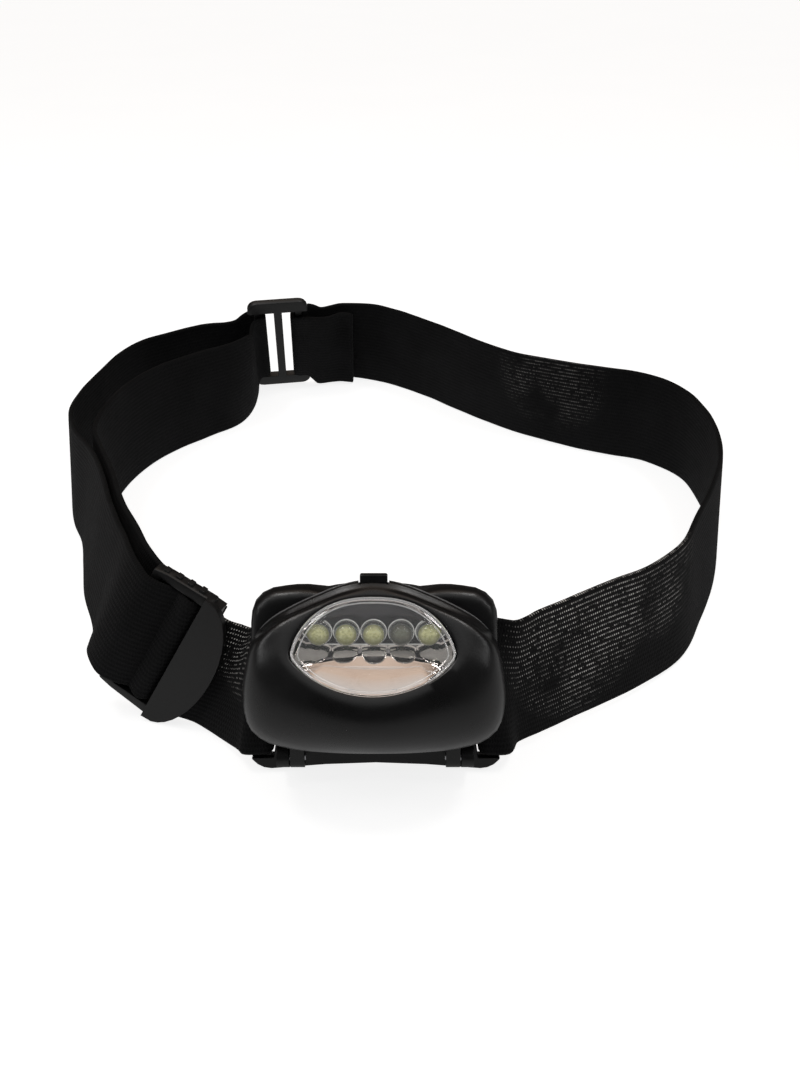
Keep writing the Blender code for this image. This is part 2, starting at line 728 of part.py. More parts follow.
# ---------------------------------------------------------------- straps
def ribbon_mesh(points, ups, width, thick, closed=False):
    """Flat strap through centre points; each station's width runs along its own up vector."""
    count = len(points)
    rings = []
    for i, p in enumerate(points):
        before = points[i - 1] if closed or i > 0 else p
        after = points[(i + 1) % count] if closed or i < count - 1 else p
        normal = ups[i].cross(after - before).normalized() * (thick / 2)
        rise = ups[i].normalized() * (width / 2)
        rings.append([p - rise - normal, p - rise + normal, p + rise + normal, p + rise - normal])
    bm = bmesh.new()
    rows = [[bm.verts.new(q) for q in ring] for ring in rings]
    pairs = list(zip(rows, rows[1:]))
    if closed:
        pairs.append((rows[-1], rows[0]))
    else:
        bm.faces.new(rows[0])
        bm.faces.new(rows[-1][::-1])
    for low, high in pairs:
        for i in range(4):
            j = (i + 1) % 4
            bm.faces.new((low[i], low[j], high[j], high[i]))
    return bm


def standing(stations):
    """Centre and up vector from (bottom x, y, z, top x, y) stations on the ground."""
    result = []
    for xb, yb, zb, xt, yt in stations:
        flat = Vector((xt - xb, yt - yb, 0))
        up = flat + Vector((0, 0, math.sqrt(STRAP_WIDTH ** 2 - flat.length_squared)))
        up.normalize()
        result.append((ground(xb, yb, zb) + up * STRAP_WIDTH / 2, up))
    return result


def plate_end(side, points):
    """Stations given as (x, d) in the plate's frame, mirrored to either side."""
    up = leaned(Vector((-side * PLATE_TAPER, 0, 1))).normalized()
    pull = PLATE_TAPER * (STRAP_MID_H - PLATE_CORNER)
    return [(leaned(head(side * (x - pull), d, STRAP_MID_H)), up) for x, d in points]


class LocalFrame:
    """Position, along, up and outward directions of a strap fitting."""

    def __init__(self, origin, along, up):
        self.origin = origin
        self.along = along.normalized()
        self.out = self.along.cross(up).normalized()
        self.up = self.out.cross(self.along).normalized()

    def at(self, along, out, up=0.0):
        return self.origin + self.along * along + self.out * out + self.up * up

    def stations(self, points, rise=0.0):
        return [(self.at(a, o, rise), self.up) for a, o in points]

    def matrix(self):
        rows = Matrix((self.along, self.out, self.up)).transposed().to_4x4()
        rows.translation = self.origin * MM
        return rows


def slider_frame():
    up = Vector((0.04, -0.46, 0.89))
    return LocalFrame(ground(-40.6, 211.5, 20.7), Vector((-0.99, -0.135, -0.028)), up)


def buckle_frame():
    return LocalFrame(ground(-44.3, 15.2, 17.5), Vector((0.827, -0.301, -0.476)),
                      Vector((0.48, -0.07, 0.875)))


AROUND_BAR = [(8.2, 2.05), (6.5, 2.05), (5.62, 1.68), (5.3, 0.8), (5.3, -0.8), (5.62, -1.68),
              (6.5, -2.05), (8.2, -2.05)]

LOOP_ROUND_BAR = [(28.6, -3.4), (25.9, -1.4), (24.4, -1.15), (23.45, -0.7), (23.1, 0.3),
                  (23.1, 1.4), (23.45, 2.35), (24.4, 2.85), (26.0, 2.85), (28.0, 2.85),
                  (29.0, 2.4), (29.5, 1.4), (30.3, 0.1), (31.6, -1.6), (34.4, -4.8)]


def spline_stations(stations, closed=False):
    return spline([p for p, _ in stations], 5.0, closed, [u for _, u in stations])


def build_right_strap():
    """From the plate's right slot round the wearer's side to the slide adjuster."""
    slider = slider_frame()
    start = plate_end(1, [(27.0, -1.35)] + LOOP_ROUND_BAR[2:-4])
    side = standing([
        (31.2, 4.2, 1.7, 29.6, 6.6), (36.0, 7.4, 1.8, 34.6, 10.0), (42.4, 11.6, 1.8, 40.6, 14.2),
        (52.6, 18.4, 1.5, 50.4, 21.4), (63.6, 26.5, 0.8, 61.3, 29.1),
        (76, 38.3, 0.3, 72.8, 40.9), (84.6, 54.7, 0, 80.8, 56.6), (91.8, 71, 0, 88.3, 72.5),
        (97.4, 88.3, 0, 94.7, 88.6), (100.4, 106, 0, 98.4, 106.6), (101.2, 122.7, 0, 98.9, 123.2),
        (98.6, 140, 0, 95.2, 141.0), (88.6, 152.4, 0, 85.8, 152.4), (75.1, 158.1, 0, 72.6, 158.2),
        (62.1, 165.5, 0, 59.4, 163.8), (49.5, 174.3, 0, 46.0, 171.6), (38, 184.5, 0, 34.6, 182.4),
        (28, 195, 0, 24.6, 194.6), (17, 207.5, 0, 14.0, 207.0), (5.3, 218.6, 0, 3.1, 218.2),
        (-3.5, 224.6, 0, -4.6, 223.6), (-11.5, 228.2, 0, -11.9, 225.4),
        (-19.5, 229.4, 0.4, -18.2, 224.6), (-27.0, 226.4, 2.4, -25.0, 217.2)])
    wrap = slider.stations([(-11.0, 4.4), (-9.2, 2.6)] + [(-a, o) for a, o in AROUND_BAR]
                           + [(-9.4, -2.1)], -0.9)
    flap = standing([(-27.6, 219.6, 1.2, -25.8, 209.6), (-23.6, 222.2, 0.4, -21.6, 212.6),
                     (-18.6, 223.6, 0.4, -17.2, 215.6),
                     (-13.6, 222.2, 0.4, -13.0, 214.0)])
    points, ups = spline_stations(start + side + wrap + flap)
    return make_object("strap_right", ribbon_mesh(points, ups, STRAP_WIDTH, STRAP_THICK), webbing())


def build_loop_strap():
    """Doubled strap: slide adjuster, round the left side, through the buckle and back."""
    slider, buckle = slider_frame(), buckle_frame()
    outer = standing([
        (-58.5, 214.6, 1.2, -56.0, 205.6), (-70.5, 204.4, 0.5, -67.6, 200.0),
        (-82.0, 193.6, 0.2, -79.4, 190.4), (-89.6, 185.2, 0.2, -86.4, 183.0),
        (-94.4, 173.8, 0.2, -90.8, 173.0), (-97.3, 156.0, 0.2, -93.9, 155.4),
        (-99.0, 138, 0.2, -95.9, 137.8), (-98.6, 122, 0.2, -95.5, 122.8), (-94.4, 107, 0.5, -90.4, 108),
        (-87.9, 91.5, 2.5, -81.8, 92), (-82.0, 72, 6, -73.4, 72), (-76.4, 52.5, 8.6, -65.6, 50.4),
        (-69.8, 35.4, 10.2, -58.8, 33.8)])
    through = buckle.stations([
        (-17.0, 1.7), (-14.8, 2.8), (-12.4, 2.7), (-9.6, 1.7), (-7.3, 0.5),
        (-5.6, 1.6), (-4.0, 2.1), (-2.7, 1.2), (-2.3, -0.4), (-2.7, -1.8), (-4.0, -2.7),
        (-6.5, -2.95), (-10.5, -2.95), (-14.5, -3.3), (-17.6, -4.7)], 0.35)
    inner = standing([
        (-67.0, 37.0, 10.0, -56.0, 36.4), (-74.0, 53.6, 8.4, -62.8, 51.4), (-79.4, 73, 6, -70.8, 73),
        (-84.2, 91.5, 2.5, -78.4, 92.2), (-86.2, 107.4, 0.5, -84.6, 107.8),
        (-85.9, 123.4, 0, -85.9, 123.4), (-82.8, 141, 0, -83.0, 142), (-75.5, 157.2, 0, -76.5, 157.7),
        (-63.5, 171.8, 0, -64.5, 171.5), (-53.4, 184, 0, -53.7, 181.8),
        (-50.6, 196, 0.3, -49.2, 189.8)])
    wrap = slider.stations([(10.4, -9.5), (9.9, -5.6), (8.9, -3.2), (7.5, -2.2)]
                           + [(a, -o) for a, o in AROUND_BAR[2:]] + [(9.6, 2.2)])
    points, ups = spline_stations(outer + through + inner + wrap, closed=True)
    bm = ribbon_mesh(points, ups, STRAP_WIDTH, STRAP_THICK, closed=True)
    return make_object("strap_loop", bm, webbing())


def build_short_strap():
    """From the plate's left slot to the buckle's lamp-side bar."""
    buckle = buckle_frame()
    start = plate_end(-1, [(26.6, -1.3)] + LOOP_ROUND_BAR[2:-3])
    tuck = buckle.stations([(10.0, -0.05)], 2.1) + buckle.stations([(7.8, -0.2)], 1.2)
    fold = buckle.stations([(5.4, -0.15), (1.7, -0.15), (0.4, -0.6), (-0.15, -1.9),
                            (0.4, -3.2), (1.5, -3.65), (2.7, -3.7)], 0.3)
    points, ups = spline_stations(start + tuck + fold)
    return make_object("strap_short", ribbon_mesh(points, ups, STRAP_WIDTH, STRAP_THICK), webbing())


# ---------------------------------------------------------------- fittings
def fitting_prism(points, out0, out1):
    """Prism of (along, up) points from out0 to out1 in a fitting's own frame."""
    outline = [Vector((a, out0, u)) for a, u in points]
    return prism_mesh(outline, Vector((0, out1 - out0, 0)))


def fitting_box(a0, a1, o0, o1, u0, u1):
    return fitting_prism([(a0, u0), (a1, u0), (a1, u1), (a0, u1)], o0, o1)


def place_fitting(obj, frame):
    obj.matrix_world = frame.matrix()
    return obj


def build_buckle():
    """Ladder-lock buckle: three bars between two rails and a half-moon lift tab."""
    frame = buckle_frame()
    window, rail = 16.7, 19.4
    side = [(-14.6, -17.9), (-11.0, -18.6), (-5.0, -19.0), (0.6, -rail)]
    outline = side + [(a, -u) for a, u in side[::-1]]
    body = place_fitting(make_object("ladder_buckle", fitting_prism(outline, -1.6, 1.6),
                                     frame_plastic()), frame)
    bevel(body, 0.5, 2)
    cut(body, make_object("far_window", fitting_box(-12.4, -8.4, -4, 4, -window, window)),
        make_object("near_window", fitting_box(-6.2, -0.5, -4, 4, -window, window)),
        make_object("bar_dip", fitting_box(-9, -6, -0.6, 4, -window, window)),
        make_object("strap_room", fitting_box(-1, 4, -4, 0.7, -16.5, window)))
    half_moon = [(-1.2, -rail)]
    half_moon += [(9.0 * math.cos(math.radians(t)), rail * math.sin(math.radians(t)))
                  for t in range(-80, 81, 10)]
    half_moon += [(-1.2, rail)]
    join(body, make_object("lift_tab", fitting_prism(half_moon, 1.0, 2.6)))
    for low, high in ((-17.9, -16.4), (16.6, 18.1)):
        join(body, make_object("rail_end", fitting_box(-1.5, 2.6, -2.6, 1.3, low, high)))
    join(body, make_object("lamp_bar", fitting_box(0.9, 2.6, -2.6, -1.2, -17.0, 17.0)))
    for a, top in ((-12.6, 18.8), (-9.6, 19.2), (-6.6, 19.5), (-3.6, 19.8)):
        join(body, make_object("rail_grip", fitting_box(a, a + 1.2, -0.9, 0.9, 17.4, top)))
    return body


def build_slider():
    """Slide adjuster: a rounded frame with one centre bar."""
    frame = slider_frame()
    outline = rounded_rectangle(-11.0, 11.0, -22.4, 22.4, 3.4, 4)
    body = place_fitting(make_object("tri_glide", fitting_prism(outline, -1.3, 1.3),
                                     frame_plastic()), frame)
    bevel(body, 0.6, 2)
    for side in (-1, 1):
        for start, end in ((1.5, 6.4), (8.7, 12)):
            low, high = sorted((side * start, side * end))
            cut(body, make_object("slider_window", fitting_box(low, high, -3, 3, -17.4, 17.4)))
        low, high = sorted((side * 6.0, side * 9.0))
        for out0, out1 in ((-3, -0.9), (0.9, 3)):
            cut(body, make_object("bar_thinning", fitting_box(low, high, out0, out1, -17.4, 17.4)))
    return body


# ---------------------------------------------------------------- assembly
def build():
    clear_scene()
    plate_axis = make_empty("plate_frame", Vector())
    hinge_pivot = head(0, HINGE_D, HINGE_H)
    hinge_axis = make_empty("hinge_axis", hinge_pivot)
    button_pivot = head(0, 11.7, 47.3)
    button_axis = make_empty("button_axis", button_pivot)
    plunger_pivot = head(0, 11.2, 41.45)
    plunger_axis = make_empty("plunger_axis", plunger_pivot)
    cover_pivot = head(0, 4.5, 13.6)
    cover_axis = make_empty("cover_axis", cover_pivot)

    build_base_plate(plate_axis)
    build_hinge_pins(plate_axis)
    build_rear_housing(hinge_axis, hinge_pivot)
    build_front_shell(hinge_axis, hinge_pivot)
    build_lens(hinge_axis, hinge_pivot)
    build_reflector(hinge_axis, hinge_pivot)
    build_leds(hinge_axis, hinge_pivot)
    build_board(hinge_axis, hinge_pivot)
    build_switch((hinge_axis, hinge_pivot), (button_axis, button_pivot),
                 (plunger_axis, plunger_pivot))
    build_power(hinge_axis, hinge_pivot)
    build_cover(cover_axis, cover_pivot)
    build_right_strap()
    build_loop_strap()
    build_short_strap()
    build_buckle()
    build_slider()


build()
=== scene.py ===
"""Visual model of the five-LED headlamp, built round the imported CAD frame."""
import json
import math

import bmesh
import bpy
from mathutils import Matrix, Vector, noise


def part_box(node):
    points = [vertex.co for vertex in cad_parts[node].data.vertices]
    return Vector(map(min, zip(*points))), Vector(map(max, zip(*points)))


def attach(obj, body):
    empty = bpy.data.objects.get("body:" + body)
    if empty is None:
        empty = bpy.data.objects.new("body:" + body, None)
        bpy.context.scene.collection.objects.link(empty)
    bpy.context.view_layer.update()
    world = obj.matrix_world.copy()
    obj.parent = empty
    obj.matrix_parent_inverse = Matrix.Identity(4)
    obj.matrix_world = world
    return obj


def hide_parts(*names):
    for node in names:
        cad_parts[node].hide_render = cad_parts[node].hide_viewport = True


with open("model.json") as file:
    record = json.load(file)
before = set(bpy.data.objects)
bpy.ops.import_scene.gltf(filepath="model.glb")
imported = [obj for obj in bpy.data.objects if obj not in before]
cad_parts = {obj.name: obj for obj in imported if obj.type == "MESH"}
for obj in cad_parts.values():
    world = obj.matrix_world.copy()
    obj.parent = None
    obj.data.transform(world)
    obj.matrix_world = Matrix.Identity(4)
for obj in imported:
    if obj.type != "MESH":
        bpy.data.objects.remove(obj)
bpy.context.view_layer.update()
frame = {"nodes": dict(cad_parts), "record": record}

MM = 0.001
LEAN = Matrix.Rotation(-math.radians(15.0), 4, "X")
PLATE_HALF_HEIGHT = 20.25
FLOOR_Z = min(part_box(name)[0].z for name in frame["nodes"]) - 0.0001

# Camera pose relative to the base plate's back face, in metres
CAMERA_AT = (0.0053, -0.18804, 0.14484)
CAMERA_PITCH_DEG = 60.0
CAMERA_LENS = 36.47

# Webbing, in millimetres
STRAP_THICK = 1.5
STRAP_WIDTH = 32.0
RIB_PITCH = 1.28
RIB_HEIGHT = 0.06
RIB_SAMPLES = 4
STATION_SPACING = 1.3
EDGE_CURL, EDGE_SWAY = 0.10, 0.16

LED_X = [(i - 2) * 5.5 for i in range(5)]
LED_H = 35.5
REFLECTOR_BACK_D = 13.2

# Lens outline, in millimetres about its own centre
LENS_CENTRE_D, LENS_CENTRE_H = 20.25, 35.2
LENS_HALF_WIDTH, LENS_RISE, LENS_DROP, LENS_TIP_V = 16.4, 11.6, 7.8, -1.9
LENS_DOME = 1.1
LENS_UP = Vector((0, 0.551, 0.834)).normalized()
LENS_OUT = Vector((0, -0.834, 0.551)).normalized()
SHELL_BACK_D = 10.3


def head(x, d, h):
    """World point, in metres, of a point in the plate's leaned frame, in millimetres."""
    return (LEAN @ Vector((x, -d, h - PLATE_HALF_HEIGHT))) * MM


def head_direction(x, d, h):
    return (LEAN @ Vector((x, -d, h))).normalized()


# ---------------------------------------------------------------- materials
class Graph:
    """Small helper that adds and links shader nodes."""

    def __init__(self, name):
        self.material = bpy.data.materials.new(name)
        self.material.use_nodes = True
        self.tree = self.material.node_tree
        self.tree.nodes.clear()
        self.output = self.tree.nodes.new("ShaderNodeOutputMaterial")

    def add(self, kind, inputs=None, **settings):
        node = self.tree.nodes.new(kind)
        for key, value in settings.items():
            setattr(node, key, value)
        for key, value in (inputs or {}).items():
            if isinstance(value, bpy.types.NodeSocket):
                self.tree.links.new(value, node.inputs[key])
            else:
                node.inputs[key].default_value = value
        return node

    def math(self, operation, a, b=0.0, c=0.0, clamp=False):
        return self.add("ShaderNodeMath", {0: a, 1: b, 2: c}, operation=operation,
                        use_clamp=clamp).outputs[0]

    def noise(self, vector, scale, detail=3.0, roughness=0.5):
        return self.add("ShaderNodeTexNoise", {"Vector": vector, "Scale": scale, "Detail": detail,
                                               "Roughness": roughness}).outputs["Fac"]

    def ramp(self, value, low, high, to_low=0.0, to_high=1.0):
        return self.add("ShaderNodeMapRange", {"Value": value, "From Min": low, "From Max": high,
                                               "To Min": to_low, "To Max": to_high}).outputs[0]

    def mix(self, factor, a, b):
        node = self.add("ShaderNodeMix", data_type="RGBA")
        for socket, value in ((node.inputs[0], factor), (node.inputs[6], a), (node.inputs[7], b)):
            if isinstance(value, bpy.types.NodeSocket):
                self.tree.links.new(value, socket)
            else:
                socket.default_value = value
        return node.outputs[2]

    def bump(self, height, distance, strength=1.0, normal=None):
        inputs = {"Height": height, "Distance": distance, "Strength": strength}
        if normal is not None:
            inputs["Normal"] = normal
        return self.add("ShaderNodeBump", inputs).outputs[0]

    def finish(self, shader):
        self.tree.links.new(shader, self.output.inputs["Surface"])
        return self.material


class WorldGraph(Graph):
    """The same helper for the world's nodes."""

    def __init__(self, world):
        world.use_nodes = True
        self.material = world
        self.tree = world.node_tree
        self.tree.nodes.clear()
        self.output = self.tree.nodes.new("ShaderNodeOutputWorld")


def position(graph):
    return graph.add("ShaderNodeTexCoord").outputs["Object"]


def moulded_plastic(name, colour, roughness, grain, edge=0.0003):
    """Black moulded plastic: spark-eroded grain, uneven sheen and rounded, slightly rubbed edges."""
    g = Graph(name)
    at = position(g)
    fine = g.noise(at, 2600.0, 2.0)
    cloudy = g.noise(at, 90.0, 4.0)
    rounded = g.add("ShaderNodeBevel", {"Radius": edge}, samples=4).outputs[0]
    plain = g.add("ShaderNodeNewGeometry").outputs["Normal"]
    turn = g.add("ShaderNodeVectorMath", {0: rounded, 1: plain},
                 operation="DOT_PRODUCT").outputs["Value"]
    rubbed = g.ramp(turn, 0.995, 0.80)
    worn = g.math("MULTIPLY", rubbed, g.ramp(g.noise(at, 420.0, 5.0), 0.42, 0.62))
    dark = tuple(c * 0.8 for c in colour) + (1.0,)
    light = tuple(c * 1.25 for c in colour) + (1.0,)
    base = g.mix(g.ramp(cloudy, 0.3, 0.7), dark, light)
    base = g.mix(g.math("MULTIPLY", worn, 0.3), base, (0.05, 0.05, 0.052, 1.0))
    rough = g.math("ADD", g.ramp(cloudy, 0.3, 0.7, roughness - 0.05, roughness + 0.05),
                   g.math("MULTIPLY", g.ramp(fine, 0.3, 0.7), 0.05))
    bump = g.bump(fine, grain, 0.6, rounded)
    shader = g.add("ShaderNodeBsdfPrincipled", {"Base Color": base, "Roughness": rough,
                                                "Normal": bump, "IOR": 1.5})
    return g.finish(shader.outputs[0])


# Where pale glints are painted on the webbing: centre and radius in metres, then how strong the painted
# glint is
PAINTED_GLINT_ZONES = (((0.044, 0.014, 0.005), 0.023, 1.0), ((0.066, 0.030, 0.009), 0.018, 0.6),
             ((0.060, 0.165, 0.006), 0.022, 0.3), ((-0.0305, 0.001, 0.005), 0.012, 0.8))


def painted_glint_zones(g, at):
    """Mask of the zones where pale glints are painted into the webbing's grooves."""
    total = 0.0
    for centre, radius, share in PAINTED_GLINT_ZONES:
        away = g.add("ShaderNodeVectorMath", {0: at, 1: centre}, operation="DISTANCE").outputs["Value"]
        total = g.math("ADD", total, g.ramp(away, radius, radius * 0.55, 0.0, share), clamp=True)
    return total


def webbing_material():
    """Black woven elastic: lengthwise ribs, crosswise picks and pale glints painted into the grooves."""
    g = Graph("webbing")
    uv = g.add("ShaderNodeUVMap", uv_map="strap_mm").outputs[0]
    split = g.add("ShaderNodeSeparateXYZ", {0: uv})
    along, across = split.outputs[0], split.outputs[1]
    rib = g.math("COSINE", g.math("MULTIPLY", across, 2 * math.pi / RIB_PITCH))
    row = g.math("FLOOR", g.math("DIVIDE", across, RIB_PITCH))
    stagger = g.math("MULTIPLY", g.math("MODULO", row, 2.0), 0.5)
    pick_phase = g.math("ADD", g.math("DIVIDE", along, 0.62), stagger)
    pick = g.math("SINE", g.math("MULTIPLY", pick_phase, 2 * math.pi))
    at = position(g)
    fuzz = g.noise(at, 5200.0, 3.0)
    height = g.math("ADD", g.math("MULTIPLY", pick, 0.35), g.math("MULTIPLY", fuzz, 0.5))
    height = g.math("ADD", height, g.math("MULTIPLY", rib, 0.2))
    normal = g.bump(height, 0.00012, 0.85)
    groove = g.ramp(rib, -0.35, -0.85)
    dash = g.ramp(pick, 0.2, 0.75)
    patch = g.ramp(g.noise(at, 60.0, 2.0), 0.36, 0.54)
    patch = g.math("MULTIPLY", patch, painted_glint_zones(g, at))
    speck = g.ramp(g.noise(at, 900.0, 2.0), 0.38, 0.56)
    # Painted highlight: pale glints in the grooves, in dashes and patches
    painted_glint = g.math("MULTIPLY", g.math("MULTIPLY", groove, dash), g.math("MULTIPLY", patch, speck))
    cloudy = g.ramp(g.noise(at, 60.0, 4.0), 0.3, 0.7)
    base = g.mix(cloudy, (0.0030, 0.0030, 0.0032, 1), (0.0060, 0.0060, 0.0064, 1))
    # Painted shade: rib crests lighter, grooves darker
    base = g.mix(g.math("MULTIPLY", g.ramp(rib, -1.0, 1.0), 0.3), base, (0.009, 0.009, 0.0095, 1))
    base = g.mix(painted_glint, base, (0.80, 0.78, 0.75, 1))
    rough = g.math("SUBTRACT", 0.82, g.math("MULTIPLY", painted_glint, 0.5))
    shader = g.add("ShaderNodeBsdfPrincipled", {
        "Base Color": base, "Roughness": rough, "Normal": normal, "Sheen Weight": 0.03,
        "Sheen Roughness": 0.4, "Sheen Tint": (0.5, 0.5, 0.52, 1.0), "Specular IOR Level": 0.12})
    return g.finish(shader.outputs[0])


def metal(name, colour, roughness, scale, distance, dark=0.8):
    """Metal with faint drawing marks and uneven brightness."""
    g = Graph(name)
    at = position(g)
    spots = g.noise(at, scale, 4.0)
    base = g.mix(g.ramp(spots, 0.3, 0.7), tuple(c * dark for c in colour) + (1,), colour + (1,))
    rough = g.ramp(spots, 0.3, 0.7, roughness * 0.7, roughness * 1.4)
    shader = g.add("ShaderNodeBsdfPrincipled", {"Base Color": base, "Roughness": rough, "Metallic": 1.0,
                                                "Normal": g.bump(spots, distance, 0.5)})
    return g.finish(shader.outputs[0])


def reflector_with_painted_light():
    """Metallised plastic with light painted into its colour: pale and warm on the faces turned up as a
    painted reflection, dark on the back and roof as painted shade.
    """
    g = Graph("reflector_bright")
    coords = g.add("ShaderNodeTexCoord").outputs
    waves = g.noise(coords["Object"], 60.0, 2.0)
    facing = g.add("ShaderNodeVectorMath", {0: coords["Normal"], 1: tuple(head_direction(0, 0, 1))},
                   operation="DOT_PRODUCT").outputs["Value"]
    # Painted light by facing: pale and warm where the face turns up, dark where it turns away
    painted_light_share = g.ramp(facing, 0.2, 0.6)
    painted_light_share = g.math("MULTIPLY", painted_light_share, g.ramp(waves, 0.3, 0.7, 0.94, 1.0))
    base = g.mix(painted_light_share, (0.13, 0.125, 0.135, 1), (0.95, 0.88, 0.84, 1))
    shader = g.add("ShaderNodeBsdfPrincipled", {
        "Base Color": base, "Metallic": 1.0, "Normal": g.bump(waves, 0.00003, 0.5),
        "Roughness": g.ramp(waves, 0.3, 0.7, 0.03, 0.06)})
    return g.finish(shader.outputs[0])


def clear_plastic(name, tint, roughness, distance, glow=0.0):
    """Clear moulded plastic with a faintly wavy surface and fine haze; a glow given to it is painted
    light.
    """
    g = Graph(name)
    at = position(g)
    wave = g.noise(at, 160.0, 2.0)
    haze = g.ramp(g.noise(at, 900.0, 3.0), 0.45, 0.75, roughness, roughness + 0.03)
    shader = g.add("ShaderNodeBsdfPrincipled", {
        "Base Color": tint, "Roughness": haze, "Transmission Weight": 1.0, "IOR": 1.46,
        "Normal": g.bump(wave, distance, 0.4), "Emission Color": tint, "Emission Strength": glow})
    return g.finish(shader.outputs[0])


def speckled(name, low, high, roughness, scale, distance=0.00003):
    """Dielectric with fine two-tone mottling and a light surface texture."""
    g = Graph(name)
    at = position(g)
    spots = g.noise(at, scale, 4.0)
    base = g.mix(g.ramp(spots, 0.35, 0.65), low + (1,), high + (1,))
    shader = g.add("ShaderNodeBsdfPrincipled", {
        "Base Color": base, "Normal": g.bump(spots, distance, 0.6),
        "Roughness": g.ramp(spots, 0.3, 0.7, roughness - 0.05, roughness + 0.05)})
    return g.finish(shader.outputs[0])


def painted_highlight_edge(name, tone, glow):
    """Pale polished edge with a painted highlight: light colour and a faint glow, a little uneven along
    its length.
    """
    g = Graph(name)
    spots = g.noise(position(g), 500.0, 3.0)
    base = g.mix(g.ramp(spots, 0.3, 0.7), tuple(c * 0.7 for c in tone) + (1,), tone + (1,))
    shader = g.add("ShaderNodeBsdfPrincipled", {
        "Base Color": base, "Roughness": g.ramp(spots, 0.3, 0.7, 0.15, 0.3),
        "Normal": g.bump(spots, 0.00001, 0.5), "Emission Color": base, "Emission Strength": glow})
    return g.finish(shader.outputs[0])


def from_centre(g, at):
    """Distance from the axis of the nearest LED in the row, in metres."""
    split = g.add("ShaderNodeSeparateXYZ", {0: at}).outputs
    pitch = (LED_X[1] - LED_X[0]) * MM
    nearest = g.math("MULTIPLY", g.math("ROUND", g.math("DIVIDE", split[0], pitch)), pitch)
    across = g.math("SUBTRACT", split[0], nearest)
    above = g.math("SUBTRACT", split[2], head(0, 14.5, LED_H).z)
    squares = g.math("ADD", g.math("POWER", g.math("ABSOLUTE", across), 2.0),
                     g.math("POWER", g.math("ABSOLUTE", above), 2.0))
    return g.math("SQRT", squares)


def phosphor_material(name, pale, deep, glow):
    """Granular phosphor with painted light: painted shade along its lower edge and round its outer ring,
    a flat painted grey where it is seen in a mirror, and a faint painted glow.
    """
    g = Graph(name)
    at = position(g)
    grain = g.noise(at, 2500.0, 3.0)
    height = g.add("ShaderNodeSeparateXYZ", {0: at}).outputs[2]
    middle = head(0, 14.5, LED_H).z
    # Painted shade: darker towards the lower edge and round the outer ring
    painted_low_shade = g.ramp(height, middle + 0.0002, middle - 0.0013)
    base = g.mix(g.ramp(grain, 0.35, 0.65), deep, pale)
    base = g.mix(painted_low_shade, base, tuple(c * 0.35 for c in deep[:3]) + (1,))
    painted_ring_shade = g.ramp(from_centre(g, at), 0.0009, 0.0017)
    base = g.mix(painted_ring_shade, base, tuple(c * 0.3 for c in deep[:3]) + (1,))
    # Painted reflection: a flat grey wherever the phosphor is seen in a mirror
    mirrored = g.math("GREATER_THAN", g.add("ShaderNodeLightPath").outputs["Glossy Depth"], 0.5)
    base = g.mix(mirrored, base, (0.42, 0.42, 0.42, 1))
    shader = g.add("ShaderNodeBsdfPrincipled", {
        "Base Color": base, "Roughness": 0.45, "Normal": g.bump(grain, 0.00005, 0.6),
        "Emission Color": base, "Emission Strength": glow})
    return g.finish(shader.outputs[0])


MATERIALS = {
    "shell_plastic": moulded_plastic("shell_black", (0.006, 0.006, 0.0064), 0.28, 0.00002),
    "frame_plastic": moulded_plastic("frame_black", (0.006, 0.006, 0.0063), 0.42, 0.00003),
    "lens_clear": clear_plastic("lens_clear_plastic", (0.985, 0.99, 0.99, 1), 0.015, 0.00006),
    "led_epoxy": clear_plastic("led_clear_epoxy", (0.97, 0.98, 0.93, 1), 0.01, 0.00002),
    "reflector_metal": reflector_with_painted_light(),
    "steel": metal("plain_steel", (0.58, 0.58, 0.60), 0.25, 800.0, 0.00002),
    "contact_brass": metal("spring_brass", (0.74, 0.56, 0.24), 0.3, 900.0, 0.00002),
    "board_green": speckled("solder_mask", (0.015, 0.09, 0.035), (0.03, 0.16, 0.06), 0.35, 700.0),
    "resistor_black": speckled("resistor_body", (0.012, 0.012, 0.012), (0.03, 0.03, 0.03), 0.4, 1500.0),
    "switch_plastic": speckled("switch_grey", (0.05, 0.05, 0.055), (0.09, 0.09, 0.1), 0.45, 1500.0),
    "plunger_white": speckled("plunger_nylon", (0.66, 0.66, 0.64), (0.8, 0.8, 0.78), 0.4, 1500.0),
    "wire_red": speckled("wire_jacket_red", (0.34, 0.01, 0.01), (0.55, 0.02, 0.02), 0.38, 900.0),
    "wire_black": speckled("wire_jacket_black", (0.01, 0.01, 0.01), (0.025, 0.025, 0.025), 0.38, 900.0),
}
WEBBING = webbing_material()
# The phosphors' glow is painted light
PHOSPHOR = phosphor_material("phosphor", (0.88, 0.86, 0.52, 1), (0.58, 0.57, 0.24, 1), 0.36)
PHOSPHOR_GREY = phosphor_material("phosphor_grey", (0.34, 0.34, 0.26, 1), (0.20, 0.20, 0.15, 1),
                                  0.20)
LEAD_METAL = metal("lead_frame_silver", (0.72, 0.72, 0.70), 0.22, 1200.0, 0.00001)
# Painted highlight: pale, faintly glowing rims round the LED holes and along the reflector fold
RIM_PAINTED_HIGHLIGHT = painted_highlight_edge("rim_painted_highlight", (0.80, 0.79, 0.76), 0.35)
# Painted highlight: faint glow on the clear beads round the lens edge
CLEAR_RIM_PAINTED_HIGHLIGHT = clear_plastic("clear_rim_painted_highlight", (0.99, 0.99, 0.99, 1), 0.12, 0.00004, 0.10)
# Painted highlight: lighter grey, faintly glowing bead along the shell's seam
SEAM_PAINTED_HIGHLIGHT = painted_highlight_edge("seam_painted_highlight", (0.16, 0.16, 0.165), 0.05)


